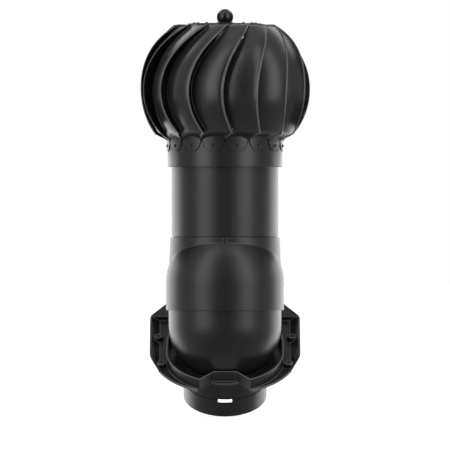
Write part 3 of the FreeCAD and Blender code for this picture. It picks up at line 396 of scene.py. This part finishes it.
# One blade: a bowed sheet with a scalloped foot, a top tab and a rolled hem on its outer edge.
# footRows: share of the foot's height, and of its width there.
# section: share across the sheet from its tucked edge, and how far it stands out there.
blade = {
    "count": 15, "firstTurn": -90.0, "wall": 0.0009,
    "footRadius": 0.0870, "footLow": 0.0035, "footBend": 0.0196, "footHalfTurn": 11.6,
    # The foot's rim is painted dark as shade, an outline standing for the shadow round each tab.
    "footArch": 0.006, "archSteep": 4.0, "footPaintedShade": -0.9, "footPaintedShadeWide": 0.036,
    "footRows": ((0.015, 0.34), (0.06, 0.48), (0.13, 0.59), (0.22, 0.68), (0.34, 0.77),
                 (0.48, 0.84), (0.62, 0.90), (0.75, 0.94), (0.88, 0.98), (1.0, 1.0)),
    "riseRows": (0.25, 0.5, 0.75), "riseCurl": 1.6,
    "bellyOffset": 0.014, "bellyArc": 0.114, "bellyRise": 0.098,
    "lowTurn": -37.0, "topTurn": 57.0, "bellyRows": 28,
    "shift": 11.0, "leadLow": 7.6, "leadTop": 29.0, "overlapTurn": 3.4, "overlapCurl": 1.5,
    "tuck": 0.017, "tuckCurl": 1.6, "tuckCentre": 5.0, "tuckSpread": 1.55,
    "tabRadius": 0.039, "tabRise": 0.1936, "tabRows": 4, "tabTurnCurl": 2, "tabTuckCurl": 4,
    "section": ((0.0, -0.0009), (0.007, -0.0002), (0.02, 0.0002), (0.034, -0.0002), (0.043, -0.0009),
                (0.07, -0.0008), (0.16, -0.0008), (0.27, -0.0008), (0.39, -0.0008), (0.51, -0.0008),
                (0.63, -0.0008), (0.75, -0.0008), (0.85, -0.0008), (0.905, -0.0008), (0.926, -0.0011),
                (0.935, -0.0008), (0.942, 0.0), (0.951, 0.0003), (0.963, 0.0004), (0.976, 0.0004),
                (0.988, 0.0002), (0.997, 0.0), (1.004, -0.0007), (1.006, -0.0014)),
    # Where the sheet stands out, the hem and the inner bead are lightened as wear and painted highlight.
    "hemReach": 0.012, "wearAndHighlightFrom": -0.0001, "innerWearAndHighlight": 0.4,
    "width": 0.0003, "segments": 2, "angle": 34.0,
}


# Rows up the blade: radius, height, turn of the outer edge, turn across, tuck, arch, hem.
def bladeRows(look):
    rows = []
    for share, wide in look["footRows"]:
        half = look["footHalfTurn"] * wide
        rise = look["footLow"] + (look["footBend"] - look["footLow"]) * share
        arch = max(0.0, look["archSteep"] * share - (look["archSteep"] - 1.0))
        rows.append([look["footRadius"], rise, half, 2.0 * half, 0.0, arch, 0.0])
    foot = rows[-1]
    low, top = math.radians(look["lowTurn"]), math.radians(look["topTurn"])
    bow = (look["leadTop"] / top + look["leadLow"] / -low) / (top - low)
    lean = look["leadTop"] / top - bow * top
    belly = []
    for step in range(look["bellyRows"] + 1):
        turn = low + (top - low) * step / look["bellyRows"]
        tuck = math.cos((turn - math.radians(look["tuckCentre"])) * look["tuckSpread"])
        belly.append([look["bellyOffset"] + look["bellyArc"] * math.cos(turn),
                      look["bellyRise"] + look["bellyArc"] * math.sin(turn),
                      look["shift"] + lean * turn + bow * turn ** 2,
                      2.0 * look["footHalfTurn"] + look["overlapTurn"] * tuck ** look["overlapCurl"],
                      tuck, 0.0, 1.0])
    for share in look["riseRows"]:
        rows.append([a + (b - a) * share for a, b in zip(foot, belly[0])])
        rows[-1][4] = belly[0][4] * share ** look["riseCurl"]
    rows.extend(belly)
    tabTurn = 360.0 / look["count"] + look["footHalfTurn"]
    extra = look["shift"] + look["leadTop"] - tabTurn
    for step in range(1, look["tabRows"] + 1):
        share = step / look["tabRows"]
        rows.append([belly[-1][0] + (look["tabRadius"] - belly[-1][0]) * share, look["tabRise"],
                     tabTurn + extra * (1.0 - share) ** look["tabTurnCurl"], 2.0 * look["footHalfTurn"],
                     belly[-1][4] * (1.0 - share) ** look["tabTuckCurl"], 0.0, 1.0 - share])
    return rows


# Shapes a flat grid into the blade, foot towards +X, outer edge at the right of the grid.
def bladeForm(look):
    rows, section = bladeRows(look), look["section"]
    form = bmesh.new()
    wearAndPaintedLightBy = {}
    bmesh.ops.create_grid(form, x_segments=len(section) - 1, y_segments=len(rows) - 1, size=1.0)
    for vertex in form.verts:
        column = round((vertex.co.x + 1.0) / 2.0 * (len(section) - 1))
        level = round((vertex.co.y + 1.0) / 2.0 * (len(rows) - 1))
        share, lift = section[column]
        radius, rise, ahead, across, tuck, arch, hem = rows[level]
        before, after = rows[max(level - 1, 0)], rows[min(level + 1, len(rows) - 1)]
        along = Vector((0.0, 0.0))
        for near, far in ((before, rows[level]), (rows[level], after)):
            along += Vector((far[0] - near[0], far[1] - near[1])).normalized()
        along.normalize()
        out = lift * hem - look["tuck"] * tuck * max(1.0 - share, 0.0) ** look["tuckCurl"]
        turn = math.radians(ahead - (1.0 - min(share, 1.0 + look["hemReach"] * hem)) * across)
        reach = radius + along.y * out
        bend = look["footArch"] * arch * (1.0 - (2.0 * min(share, 1.0) - 1.0) ** 2)
        # Painted shade round the foot's rim; wear and painted highlight on the hem and inner bead.
        atRim = abs(share - 0.5) > 0.5 - look["footPaintedShadeWide"] or level == 0
        if atRim and level < len(look["footRows"]):
            wearAndPaintedLightBy[vertex] = look["footPaintedShade"]
        elif lift > look["wearAndHighlightFrom"]:
            wearAndPaintedLightBy[vertex] = hem * (1.0 if share > 0.5 else look["innerWearAndHighlight"])
        vertex.co = (reach * math.cos(turn), reach * math.sin(turn), rise + bend - along.x * out)
    wearAndPaintedLight = form.loops.layers.float.new("edgeWearAndPaintedLight")
    for face in form.faces:
        for loop in face.loops:
            loop[wearAndPaintedLight] = wearAndPaintedLightBy.get(loop.vert, 0.0)
    form.normal_update()
    if sum(face.normal.dot(Vector((*face.calc_center_median().xy, 0.0))) for face in form.faces) < 0.0:
        bmesh.ops.reverse_faces(form, faces=form.faces)
    return form


for number in range(blade["count"]):
    form = bladeForm(blade)
    turn = math.radians(blade["firstTurn"] + 360.0 / blade["count"] * (number + 0.5))
    bmesh.ops.rotate(form, cent=(0.0, 0.0, 0.0), matrix=Matrix.Rotation(turn, 3, "Z"), verts=form.verts)
    bmesh.ops.translate(form, vec=(pipeAxis[0], pipeAxis[1], pipeTop), verts=form.verts)
    finishedPiece("bladeSheet%02d" % (number + 1), "blade_%02d" % (number + 1), form, blade)
print("blades shaped:", blade["count"])

# Cap plate over the top tabs, with a slightly rolled rim.
cap = {"hole": 0.0075, "rimRoll": 0.0004,
       "steps": 120, "weld": 1e-6, "width": 0.0003, "segments": 2, "angle": 30.0, "wearAndPaintedLightLevel": 1.0}
capLow, capHigh = (corner.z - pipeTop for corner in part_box("top_plate"))
capReach = (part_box("top_plate")[1].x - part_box("top_plate")[0].x) / 2
finishedPiece("capPlate", "top_plate", spunForm([
    (cap["hole"], capLow), (capReach - cap["rimRoll"], capLow), (capReach, capLow + cap["rimRoll"]),
    (capReach, capHigh - cap["rimRoll"]), (capReach - cap["rimRoll"], capHigh), (cap["hole"], capHigh)],
    cap), cap)
print("cap plate spun")

# The studio: pale floor, soft tall strips at both sides, black cards, and a long lens.
studio = {
    "lensDistance": 14.0, "frameWidth": 0.6773, "lookHeight": 0.1505, "sensor": 36.0, "clip": (0.5, 60.0),
    "floorGap": 0.0006, "floorSize": 60.0, "floorTone": 0.8, "floorSpeck": 0.01, "speck": (40.0, 3.0, 0.5),
    "floorRough": 0.9, "floorSpecular": 0.1, "floorGlow": 0.6, "floorGlowFar": 0.9, "floorFade": 1.6,
    "roomTone": 0.75, "roomFront": 0.04,
    "frontStrip": {"turn": 44.0, "away": 2.2, "wide": 1.2, "tall": 6.7, "power": 57.0, "high": 2.95},
    "rimStrip": {"turn": 138.0, "away": 2.4, "wide": 2.2, "tall": 4.4, "power": 68.0, "high": 0.6},
    "topPanel": {"high": 2.4, "ahead": 0.4, "size": 1.6, "power": 3.0},
    "cardTone": 0.01,
    "cards": ({"spot": (0.281, 0.312, 0.335), "wide": 0.56, "deep": 0.40, "tilt": 90.0, "turn": 138.0},
              {"spot": (0.31, 0.20, 0.122), "wide": 0.34, "deep": 0.50, "tilt": 0.0, "turn": 0.0}),
}
housingCentre = frame["joints"][0]["pos_m"]
middle = Vector((0.0, pipeAxis[1], housingCentre[2] + studio["lookHeight"]))
sides = {"Left": -1.0, "Right": 1.0}


def aimed(thing, target):
    thing.rotation_mode = "QUATERNION"
    thing.rotation_quaternion = (Vector(target) - thing.location).to_track_quat("-Z", "Y")


def panel(name, spot, target, wide, tall, power):
    lamp = bpy.data.lights.new(name, "AREA")
    lamp.shape = "RECTANGLE"
    lamp.size, lamp.size_y, lamp.energy = wide, tall, power
    thing = bpy.data.objects.new(name, lamp)
    scene.collection.objects.link(thing)
    thing.location = spot
    aimed(thing, target)
    thing.visible_camera = False


for key in ("frontStrip", "rimStrip"):
    strip = studio[key]
    for word, side in sides.items():
        turn = math.radians(strip["turn"]) * side
        spot = middle + Vector((math.sin(turn), -math.cos(turn), 0.0)) * strip["away"]
        spot.z += strip["high"]
        panel(key + word, spot, (middle.x, middle.y, spot.z), strip["wide"], strip["tall"], strip["power"])
top = studio["topPanel"]
spot = middle + Vector((0.0, -top["ahead"], top["high"]))
panel("topPanel", spot, middle, top["size"], top["size"], top["power"])

# The cards keep the rear strips off the turbine, which stays darker than the pipe.
cardBlack = newMaterial("cardBlack", {
    "Base Color": grey(studio["cardTone"]), "Roughness": 1.0, "Specular IOR Level": 0.0})[0]
for number, look in enumerate(studio["cards"]):
    for word, side in sides.items():
        form = bmesh.new()
        bmesh.ops.create_grid(form, x_segments=1, y_segments=1, size=0.5)
        bmesh.ops.scale(form, vec=(look["wide"], look["deep"], 1.0), verts=form.verts)
        for angle, axis in ((look["tilt"], "X"), (look["turn"] * side, "Z")):
            bmesh.ops.rotate(form, cent=(0.0, 0.0, 0.0), verts=form.verts,
                             matrix=Matrix.Rotation(math.radians(angle), 3, axis))
        across, back, high = look["spot"]
        bmesh.ops.translate(form, vec=middle + Vector((across * side, back, high)), verts=form.verts)
        card = inScene("blackCard%d%s" % (number + 1, word), form, cardBlack)
        card.visible_camera = False

# A white background for the camera; in reflections the room is dark in front and pale behind.
world = bpy.data.worlds.new("studioRoom")
scene.world = world
world.use_nodes = True
board = Board(world.node_tree)
seen = board.rays("Is Camera Ray").atLeast(board.rays("Is Transmission Ray"))
forward = board.axes(board.add("ShaderNodeTexCoord", output="Generated"))[1]
room = (forward * 0.5 + 0.5) * (studio["roomTone"] - studio["roomFront"]) + studio["roomFront"]
level = seen + (1.0 - seen) * room
background = world.node_tree.nodes["Background"]
background.inputs["Color"].default_value = grey(1.0)
world.node_tree.links.new(level.socket, background.inputs["Strength"])

# The floor glows for the camera alone, more so away from the part, and keeps a soft shadow.
floorPaint, board, shader = newMaterial("floorPaint", {
    "Roughness": studio["floorRough"], "Specular IOR Level": studio["floorSpecular"]})
darker, lighter = (grey(studio["floorTone"] * (1.0 + studio["floorSpeck"] * way)) for way in (-1.0, 1.0))
feed(board, shader, {"Base Color": board.mix(board.noise(*studio["speck"]), darker, lighter)})
away = board.add("ShaderNodeVectorMath", {"operation": "LENGTH"}, {0: board.place()}, 1)
fade = (away * (1.0 / studio["floorFade"])).atMost(1.0)
glow = studio["floorGlow"] + fade * (studio["floorGlowFar"] - studio["floorGlow"])
shine = board.add("ShaderNodeEmission", None, {
    "Color": grey(1.0), "Strength": board.rays("Is Camera Ray") * glow})
both = board.add("ShaderNodeAddShader", None, {0: Wire(board, shader.outputs[0]), 1: shine})
board.tree.links.new(both.socket, board.tree.nodes["Material Output"].inputs["Surface"])
form = bmesh.new()
bmesh.ops.create_grid(form, x_segments=1, y_segments=1, size=studio["floorSize"] / 2)
bmesh.ops.translate(form, vec=(0.0, 0.0, cadBox[0].z - studio["floorGap"]), verts=form.verts)
floor = inScene("studioFloor", form, floorPaint)
floor.visible_glossy = False

lens = bpy.data.cameras.new("longLens")
lens.sensor_width = studio["sensor"]
lens.lens = studio["sensor"] * studio["lensDistance"] / studio["frameWidth"]
lens.clip_start, lens.clip_end = studio["clip"]
camera = bpy.data.objects.new("longLens", lens)
scene.collection.objects.link(camera)
camera.location = middle + Vector((0.0, -studio["lensDistance"], 0.0))
aimed(camera, middle)
scene.camera = camera
scene.view_settings.view_transform = "Standard"
print("studio ready")
